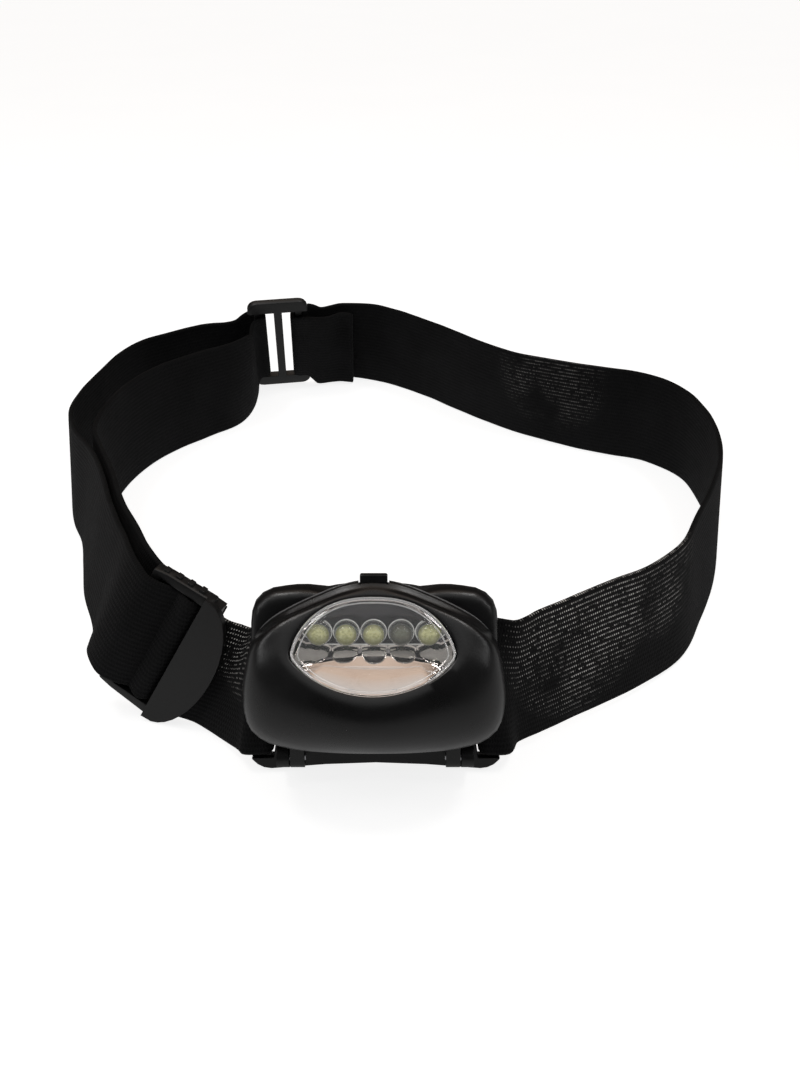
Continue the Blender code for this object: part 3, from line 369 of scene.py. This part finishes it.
# ---------------------------------------------------------------- meshes
def new_piece(name, bm, material, body, replaces=()):
    mesh = bpy.data.meshes.new(name)
    bm.to_mesh(mesh)
    bm.free()
    obj = bpy.data.objects.new(name, mesh)
    bpy.context.scene.collection.objects.link(obj)
    mesh.materials.append(material)
    for poly in mesh.polygons:
        poly.use_smooth = True
    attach(obj, body)
    if replaces:
        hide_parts(*replaces)
    return obj


def ring_points(centre, u, v, radius, count):
    return [centre + (u * math.cos(2 * math.pi * i / count) + v * math.sin(2 * math.pi * i / count))
            * radius for i in range(count)]


def turned(centre, axis, profile, count=40, cap=True):
    """Body of revolution in metres through (distance, radius) pairs given in millimetres."""
    side = axis.orthogonal().normalized()
    up = axis.cross(side)
    bm = bmesh.new()
    rows = [[bm.verts.new(p) for p in ring_points(centre + axis * (s * MM), side, up, r * MM, count)]
            for s, r in profile]
    for low, high in zip(rows, rows[1:]):
        for i in range(count):
            j = (i + 1) % count
            bm.faces.new((low[i], low[j], high[j], high[i]))
    if cap:
        for row, flip in ((rows[0], True), (rows[-1], False)):
            centre_vert = bm.verts.new(sum((v.co for v in row), Vector()) / count)
            for i in range(count):
                tri = (row[i], row[(i + 1) % count], centre_vert)
                bm.faces.new(tri[::-1] if flip else tri)
    bmesh.ops.recalc_face_normals(bm, faces=bm.faces)
    return bm


def smoothing_group():
    """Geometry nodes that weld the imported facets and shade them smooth, except at sharp edges."""
    group = bpy.data.node_groups.new("weld_and_smooth", "GeometryNodeTree")
    group.interface.new_socket("Geometry", in_out="INPUT", socket_type="NodeSocketGeometry")
    group.interface.new_socket("Angle", in_out="INPUT", socket_type="NodeSocketFloat")
    group.interface.new_socket("Geometry", in_out="OUTPUT", socket_type="NodeSocketGeometry")
    nodes, links = group.nodes, group.links
    start, end = nodes.new("NodeGroupInput"), nodes.new("NodeGroupOutput")
    forget = nodes.new("GeometryNodeRemoveAttribute")
    forget.inputs["Name"].default_value = "custom_normal"
    weld = nodes.new("GeometryNodeMergeByDistance")
    weld.inputs["Distance"].default_value = 2e-6
    faces = nodes.new("GeometryNodeSetShadeSmooth")
    edges = nodes.new("GeometryNodeSetShadeSmooth")
    edges.domain = "EDGE"
    angle = nodes.new("GeometryNodeInputMeshEdgeAngle")
    compare = nodes.new("FunctionNodeCompare")
    compare.operation = "LESS_THAN"
    links.new(start.outputs["Geometry"], forget.inputs[0])
    links.new(forget.outputs[0], weld.inputs["Geometry"])
    links.new(weld.outputs[0], faces.inputs["Geometry"])
    links.new(faces.outputs[0], edges.inputs["Geometry"])
    links.new(angle.outputs["Unsigned Angle"], compare.inputs[0])
    links.new(start.outputs["Angle"], compare.inputs[1])
    links.new(compare.outputs[0], edges.inputs["Shade Smooth"])
    links.new(edges.outputs[0], end.inputs[0])
    return group


SMOOTHING = smoothing_group()


def dress(node, angle_deg=32.0):
    """Keep a CAD node: weld and smooth its facets and give it its finish."""
    obj = frame["nodes"][node]
    slot = SLOT_OF[node]
    obj.data.materials.clear()
    obj.data.materials.append(MATERIALS[slot])
    mod = obj.modifiers.new("smooth", "NODES")
    mod.node_group = SMOOTHING
    mod[SMOOTHING.interface.items_tree["Angle"].identifier] = math.radians(angle_deg)
    return obj


SLOT_OF = {part["node"]: part["material_slot"] for part in frame["record"]["subparts"]}


# ---------------------------------------------------------------- straps
def end_edge(face, crossing):
    """The cut-end edge of a strip's last facet."""
    return min((e for e in face.edges if e not in crossing),
               key=lambda e: abs(e.calc_length() - STRAP_THICK * MM))


def is_narrow(face):
    return max(e.calc_length() for e in face.edges) < 0.6 * STRAP_WIDTH * MM


def connected(start, crossing):
    """All facets reached from a start facet over the cross edges."""
    piece, todo = set(), [start]
    while todo:
        face = todo.pop()
        if face not in piece:
            piece.add(face)
            todo += [f for e in face.edges if e in crossing for f in e.link_faces]
    return piece


def walk(face, crossing):
    """Cross edges in order along a strip from the given facet, and the facet they end at."""
    order, seen, edge = [], set(), None
    while True:
        seen.add(face)
        ahead = [e for e in face.edges if e in crossing and e is not edge]
        ahead = [e for e in ahead if any(f not in seen for f in e.link_faces)]
        if not ahead:
            return order, face
        edge = ahead[0]
        order.append(edge)
        face = next(f for f in edge.link_faces if f not in seen)


def ordered_edges(piece, crossing):
    """Whether a strip closes on itself, and its cross edges in order."""
    ends = [f for f in piece if sum(e in crossing for e in f.edges) == 1]
    order, last = walk(min(ends or piece, key=lambda f: f.index), crossing)
    if not ends:
        return True, order + [e for e in last.edges if e in crossing and e not in order]
    first = next(f for f in order[0].link_faces if f in ends)
    return False, [end_edge(first, crossing)] + order + [end_edge(last, crossing)]


def thin_strips(node):
    """The two narrow edge strips of a CAD strap, each as its ordered cross edges (a, b)."""
    bm = bmesh.new()
    bm.from_mesh(frame["nodes"][node].data)
    bmesh.ops.remove_doubles(bm, verts=bm.verts, dist=2e-6)
    left = {f for f in bm.faces if is_narrow(f)}
    crossing = {e for e in bm.edges
                if len(e.link_faces) == 2 and all(f in left for f in e.link_faces)}
    strips = []
    while left:
        piece = connected(min(left, key=lambda f: f.index), crossing)
        left -= piece
        closed, order = ordered_edges(piece, crossing)
        strips.append((closed, [tuple(v.co.copy() for v in e.verts) for e in order]))
    bm.free()
    return strips


def square_edges(edges):
    """Midpoints of the cross edges that lie square to the strip, one for each station."""
    square = []
    for pair in edges:
        error = abs((pair[0] - pair[1]).length - STRAP_THICK * MM)
        if error > 3e-5:
            continue
        if square and set(map(tuple, pair)) & set(map(tuple, square[-1][1])):
            if error < square[-1][0]:
                square[-1] = (error, pair)
            continue
        square.append((error, pair))
    return [(a + b) / 2 for _, (a, b) in square]


def strap_stations(node):
    """Whether a CAD strap is a closed loop, and its ordered pairs of edge midpoints (low, high)."""
    strips = thin_strips(node)
    low, high = (square_edges(edges) for _, edges in strips)
    count = len(low)
    if len(high) != count:
        raise ValueError("%s: strap edges have %d and %d stations" % (node, count, len(high)))

    def misfit(shift, step):
        picks = range(0, count, max(1, count // 12))
        gaps = [(low[i] - high[(shift + step * i) % count]).length for i in picks]
        return max(abs(gap - STRAP_WIDTH * MM) for gap in gaps)

    options = [(misfit(shift, step), shift, step) for step in (1, -1) for shift in range(count)]
    error, shift, step = min(options)
    if error > 2e-4:
        raise ValueError("%s: strap edges don't pair up (%.5f)" % (node, error))
    return strips[0][0], [(low[i], high[(shift + step * i) % count]) for i in range(count)]


def resample(stations, closed, spacing):
    """Smooth curve through (centre, up) stations, weighted by their spacing."""
    count = len(stations)
    spans = count if closed else count - 1
    lengths = [(stations[(i + 1) % count][0] - stations[i][0]).length for i in range(spans)]

    def tangent(track, i):
        before, after = (i - 1) % count, (i + 1) % count
        if not closed and i in (0, count - 1):
            near = (0, 1) if i == 0 else (count - 2, count - 1)
            return (stations[near[1]][track] - stations[near[0]][track]) / lengths[near[0]]
        h0, h1 = lengths[before], lengths[i]
        back = (stations[i][track] - stations[before][track]) * (h1 / h0)
        ahead = (stations[after][track] - stations[i][track]) * (h0 / h1)
        return (back + ahead) / (h0 + h1)

    result = []
    for i in range(spans):
        j, h = (i + 1) % count, lengths[i]
        steps = max(2, math.ceil(h / spacing))
        for k in range(steps):
            t = k / steps
            blend = (2 * t ** 3 - 3 * t * t + 1, t ** 3 - 2 * t * t + t,
                     3 * t * t - 2 * t ** 3, t ** 3 - t * t)
            result.append(tuple(
                stations[i][track] * blend[0] + tangent(track, i) * (h * blend[1])
                + stations[j][track] * blend[2] + tangent(track, j) * (h * blend[3])
                for track in (0, 1)))
    if not closed:
        result.append(stations[-1])
    return result


def strap_section():
    """Closed outline of ribbed webbing as (across, out) in millimetres, front then back."""
    half_width, half_thick = STRAP_WIDTH / 2, STRAP_THICK / 2
    steps = round(STRAP_WIDTH / RIB_PITCH * RIB_SAMPLES)
    front = []
    for i in range(steps + 1):
        v = -half_width + STRAP_WIDTH * i / steps
        groove = 0.5 - 0.5 * math.cos(2 * math.pi * v / RIB_PITCH)
        edge = max(0.0, (abs(v) - half_width + 0.9) / 0.9)
        front.append((v, half_thick - RIB_HEIGHT * groove - 0.42 * edge * edge))
    return front + [(v, -w) for v, w in front[::-1]]


def strap_rows(bm, path, closed, section, seed):
    """A ring of vertices at each station, and the distance in millimetres travelled to it."""
    count = len(path)
    rows, distance, s = [], [], 0.0
    for i, (centre, up) in enumerate(path):
        before = path[i - 1][0] if closed or i > 0 else centre
        after = path[(i + 1) % count][0] if closed or i < count - 1 else centre
        out = up.cross(after - before).normalized()
        rise = up.normalized()
        if i:
            s += (centre - path[i - 1][0]).length / MM
        distance.append(s)
        curl = EDGE_CURL * noise.noise(Vector((s * 0.05, seed, 0.0)))
        row = []
        for v, w in section:
            side = math.copysign(5.0, v)
            sway = EDGE_SWAY * noise.noise(Vector((s * 0.11, seed + side, 1.7)))
            lift = curl * (v / (STRAP_WIDTH / 2)) ** 2
            row.append(bm.verts.new(centre + rise * ((v + sway * abs(v) / 16) * MM)
                                    + out * ((w + lift) * MM)))
        rows.append(row)
    distance.append(s + (path[0][0] - path[-1][0]).length / MM)
    return rows, distance


def skin_strap(bm, rows, distance, section, closed):
    """Faces between the stations, with UVs in millimetres along and across the strap."""
    uv_layer = bm.loops.layers.uv["strap_mm"]
    count, size = len(rows), len(section)
    for i in range(count if closed else count - 1):
        low, high = rows[i], rows[(i + 1) % count]
        for k in range(size):
            m = (k + 1) % size
            face = bm.faces.new((low[k], low[m], high[m], high[k]))
            marks = ((i, k), (i, m), (i + 1, m), (i + 1, k))
            for loop, (station, column) in zip(face.loops, marks):
                loop[uv_layer].uv = (distance[station], section[column][0])
    if closed:
        return
    for row, station in ((rows[0][::-1], 0), (rows[-1], count - 1)):
        face = bm.faces.new(row)
        for loop in face.loops:
            loop[uv_layer].uv = (distance[station], 0.0)


def strap_piece(name, node, seed):
    """Woven strap that follows the CAD strap's path, with real ribs and slightly wavy edges."""
    closed, pairs = strap_stations(node)
    width = STRAP_WIDTH * MM
    stations = [((low + high) / 2, (high - low) / width) for low, high in pairs]
    path = resample(stations, closed, STATION_SPACING * MM)
    section = strap_section()
    bm = bmesh.new()
    bm.loops.layers.uv.new("strap_mm")
    rows, distance = strap_rows(bm, path, closed, section, seed)
    skin_strap(bm, rows, distance, section, closed)
    bmesh.ops.recalc_face_normals(bm, faces=bm.faces)
    new_piece(name, bm, WEBBING, "base", (node,))


strap_piece("webbing_right", "strap_right", 3.0)
strap_piece("webbing_loop", "strap_loop", 11.0)
strap_piece("webbing_short", "strap_short", 23.0)


# ---------------------------------------------------------------- lamp
for node in sorted(frame["nodes"]):
    if not node.startswith("strap_"):
        dress(node, 40.0 if node in ("front_shell", "rear_housing") else 30.0)


# Turned profiles about an LED's axis: distance forward and radius, in millimetres
CUP_PROFILE = [(0.0, 0.55), (0.1, 0.7), (0.9, 0.9), (1.3, 1.75), (1.42, 1.8), (1.36, 1.66),
               (1.0, 1.0), (0.95, 0.1)]
PHOSPHOR_PROFILE = [(1.02, 0.85), (1.25, 1.4), (1.5, 1.6), (1.72, 1.45), (1.86, 1.0), (1.92, 0.45)]
HOLE_RIM_PROFILE = [(0.06, 2.52), (0.34, 2.53), (0.44, 2.58), (0.40, 2.66), (0.24, 2.70), (0.06, 2.70)]
CUP_BACK_D = 13.0
GREY_LED = 4


def led_inside(index, x):
    """Reflector cup and phosphor inside a clear LED body, and the rim of its hole with a painted
    highlight.
    """
    forward = head_direction(0, 1, 0)
    back = head(x, CUP_BACK_D, LED_H)
    cup = turned(back, forward, CUP_PROFILE, 32)
    new_piece("led_%d_cup" % index, cup, LEAD_METAL, "head")
    glow = turned(back, forward, PHOSPHOR_PROFILE, 32)
    phosphor = PHOSPHOR_GREY if index == GREY_LED else PHOSPHOR
    new_piece("led_%d_phosphor" % index, glow, phosphor, "head")
    closed_rim = HOLE_RIM_PROFILE + HOLE_RIM_PROFILE[:1]
    ring = turned(head(x, REFLECTOR_BACK_D, LED_H), forward, closed_rim, 48, cap=False)
    bmesh.ops.remove_doubles(ring, verts=ring.verts, dist=1e-7)
    bmesh.ops.recalc_face_normals(ring, faces=ring.faces)
    new_piece("led_%d_rim" % index, ring, RIM_PAINTED_HIGHLIGHT, "head")


for index, x in enumerate(LED_X, 1):
    led_inside(index, x)


def lens_radius(angle):
    """Distance from the lens's centre to its pointed oval outline, in millimetres."""
    low, high = 0.0, 30.0
    for _ in range(40):
        r = (low + high) / 2
        u, v = abs(r * math.cos(angle)) / LENS_HALF_WIDTH, r * math.sin(angle)
        if u >= 1:
            inside = False
        elif v >= 0:
            inside = v < LENS_RISE * (1 - u ** 2.4) ** 0.6
        else:
            inside = -v < LENS_DROP * (1 - u * u) ** 0.78
        low, high = (r, high) if inside else (low, r)
    return low


def lens_surface(angle, share, above=0.0):
    """Point on the lens's domed outer face, in metres."""
    r = lens_radius(angle) * share
    centre = head(0, LENS_CENTRE_D, LENS_CENTRE_H) / MM
    point = centre + Vector((1, 0, 0)) * (r * math.cos(angle))
    point += LENS_UP * (r * math.sin(angle) + LENS_TIP_V)
    return (point + LENS_OUT * (LENS_DOME * (1 - share * share) - 0.25 * (share == 1) + above)) * MM


def bead(name, path, radius, material, sides=10, closed=True):
    """Round bead of the given radius, in millimetres, along a path of points in metres."""
    bm = bmesh.new()
    rows, count = [], len(path)
    for i, p in enumerate(path):
        ahead = path[(i + 1) % count] if closed or i < count - 1 else p
        behind = path[i - 1] if closed or i else p
        tangent = (ahead - behind).normalized()
        side = tangent.cross(head_direction(0, 1, 0.3)).normalized()
        rows.append([bm.verts.new(q) for q in
                     ring_points(p, side, tangent.cross(side), radius(i) * MM, sides)])
    for i in range(count if closed else count - 1):
        low, high = rows[i], rows[(i + 1) % count]
        for k in range(sides):
            m = (k + 1) % sides
            bm.faces.new((low[k], low[m], high[m], high[k]))
    if not closed:
        bm.faces.new(rows[0][::-1])
        bm.faces.new(rows[-1])
    bmesh.ops.recalc_face_normals(bm, faces=bm.faces)
    return new_piece(name, bm, material, "head")


ANGLES = [2 * math.pi * i / 160 for i in range(160)]
rim_path = [lens_surface(angle, 0.975, 0.02) for angle in ANGLES]
step_path = [lens_surface(angle, 0.90) for angle in ANGLES]
bead("lens_rim", rim_path, lambda i: 0.24, CLEAR_RIM_PAINTED_HIGHLIGHT)
bead("lens_step", step_path, lambda i: 0.13, CLEAR_RIM_PAINTED_HIGHLIGHT)


def shell_seam(depth, start_deg, end_deg, count=27):
    """Path along the arched back edge of the front shell, between two angles from +X."""
    obj = frame["nodes"]["front_shell"]
    to_local = obj.matrix_world.inverted()
    path = []
    for i in range(count):
        angle = math.radians(start_deg + (end_deg - start_deg) * i / (count - 1))
        outward = (LEAN @ Vector((math.cos(angle), 0, math.sin(angle)))).normalized()
        start = head(0, depth, 26.0) + outward * 0.06
        hit, where, _, _ = obj.ray_cast(to_local @ start, to_local.to_3x3() @ (-outward))
        if hit:
            path.append(obj.matrix_world @ where)
    return path


def reflector_fold():
    """Fold where the reflector's back wall meets its floor, with a painted highlight along it."""
    path = [head(-10.5 + 21.0 * i / 40, REFLECTOR_BACK_D + 0.2, LED_H - 2.62) for i in range(41)]
    bead("reflector_fold", path, lambda i: 0.11, RIM_PAINTED_HIGHLIGHT, closed=False)


reflector_fold()
# The seam stops short of the push button at the top of the arch
for name, start_deg, end_deg in (("shell_seam_right", 22, 76), ("shell_seam_left", 104, 158)):
    seam = shell_seam(SHELL_BACK_D + 0.9, start_deg, end_deg)
    fade = [min(1.0, i / 6, (len(seam) - 1 - i) / 6) for i in range(len(seam))]
    bead(name, seam, lambda i: 0.05 + 0.17 * fade[i], SEAM_PAINTED_HIGHLIGHT, closed=False)


# ---------------------------------------------------------------- studio
def stage_material():
    """Pale floor, lit from below as well so that shadows stay faint; dimmer in far reflections."""
    g = Graph("pale_floor")
    at = position(g)
    tone = g.mix(g.ramp(g.noise(at, 9.0, 3.0), 0.3, 0.7), (0.44, 0.44, 0.44, 1), (0.46, 0.46, 0.46, 1))
    matt = g.add("ShaderNodeBsdfDiffuse", {"Color": tone}).outputs[0]
    glow = g.add("ShaderNodeEmission", {"Color": (1, 1, 1, 1), "Strength": 0.84}).outputs[0]
    lit = g.add("ShaderNodeAddShader", {0: matt, 1: glow}).outputs[0]
    ahead = g.add("ShaderNodeSeparateXYZ", {0: at}).outputs[1]
    path = g.add("ShaderNodeLightPath").outputs
    seen = g.math("MAXIMUM", path["Is Camera Ray"], path["Is Diffuse Ray"])
    share = g.math("MAXIMUM", seen, g.ramp(ahead, -0.30, -0.03, 0.03, 0.35))
    black = g.add("ShaderNodeBsdfDiffuse", {"Color": (0, 0, 0, 1)}).outputs[0]
    return g.finish(g.add("ShaderNodeMixShader", {0: share, 1: black, 2: lit}).outputs[0])


def build_floor():
    bm = bmesh.new()
    corners = ((-4, -3), (4, -3), (4, 5), (-4, 5))
    bm.faces.new([bm.verts.new((x, y, FLOOR_Z)) for x, y in corners])
    mesh = bpy.data.meshes.new("floor")
    bm.to_mesh(mesh)
    bm.free()
    floor = bpy.data.objects.new("floor", mesh)
    bpy.context.scene.collection.objects.link(floor)
    mesh.materials.append(stage_material())


def area_light(name, at, target, size, power):
    data = bpy.data.lights.new(name, "AREA")
    data.shape = "RECTANGLE"
    data.size, data.size_y = size
    data.energy = power
    light = bpy.data.objects.new(name, data)
    light.location = at
    light.rotation_euler = (Vector(target) - Vector(at)).to_track_quat("-Z", "Y").to_euler()
    bpy.context.scene.collection.objects.link(light)
    return light


def build_world():
    """Dark room with a bright panel overhead, warmer behind the lamp, and a pale backdrop to look at."""
    world = bpy.data.worlds.new("studio")
    bpy.context.scene.world = world
    g = WorldGraph(world)
    ray = g.add("ShaderNodeTexCoord").outputs["Generated"]
    direction = g.add("ShaderNodeSeparateXYZ", {0: ray}).outputs
    overhead = g.add("ShaderNodeMapRange", {
        "Value": direction[2], "From Min": 0.60, "From Max": 0.95, "To Min": 0.03, "To Max": 0.72},
        interpolation_type="SMOOTHSTEP").outputs[0]
    tint = g.mix(g.ramp(direction[1], -0.15, 0.2), (1, 1, 1, 1), (1.0, 0.80, 0.66, 1))
    room = g.add("ShaderNodeBackground", {"Color": tint, "Strength": overhead}).outputs[0]
    backdrop = g.add("ShaderNodeBackground", {"Color": (1, 1, 1, 1), "Strength": 0.94}).outputs[0]
    seen = g.add("ShaderNodeLightPath").outputs["Is Camera Ray"]
    g.finish(g.add("ShaderNodeMixShader", {0: seen, 1: room, 2: backdrop}).outputs[0])


def build_studio():
    build_floor()
    build_world()
    middle = (0.0, 0.04, 0.0)
    area_light("softbox_top_left", (-0.30, 0.08, 0.62), middle, (0.16, 0.12), 0.65)
    area_light("softbox_top_right", (0.30, 0.08, 0.62), middle, (0.16, 0.12), 0.65)
    area_light("softbox_left", (-0.55, -0.10, 0.35), middle, (0.10, 0.4), 0.5)
    area_light("softbox_right", (0.55, -0.10, 0.35), middle, (0.10, 0.4), 0.4)
    bpy.context.scene.view_settings.view_transform = "Standard"


def build_camera():
    data = bpy.data.cameras.new("camera")
    data.lens = CAMERA_LENS
    data.sensor_width = 36.0
    data.clip_start = 0.01
    data.clip_end = 20.0
    camera = bpy.data.objects.new("camera", data)
    camera.location = CAMERA_AT
    camera.rotation_euler = (math.radians(CAMERA_PITCH_DEG), 0.0, 0.0)
    bpy.context.scene.collection.objects.link(camera)
    bpy.context.scene.camera = camera


build_studio()
build_camera()
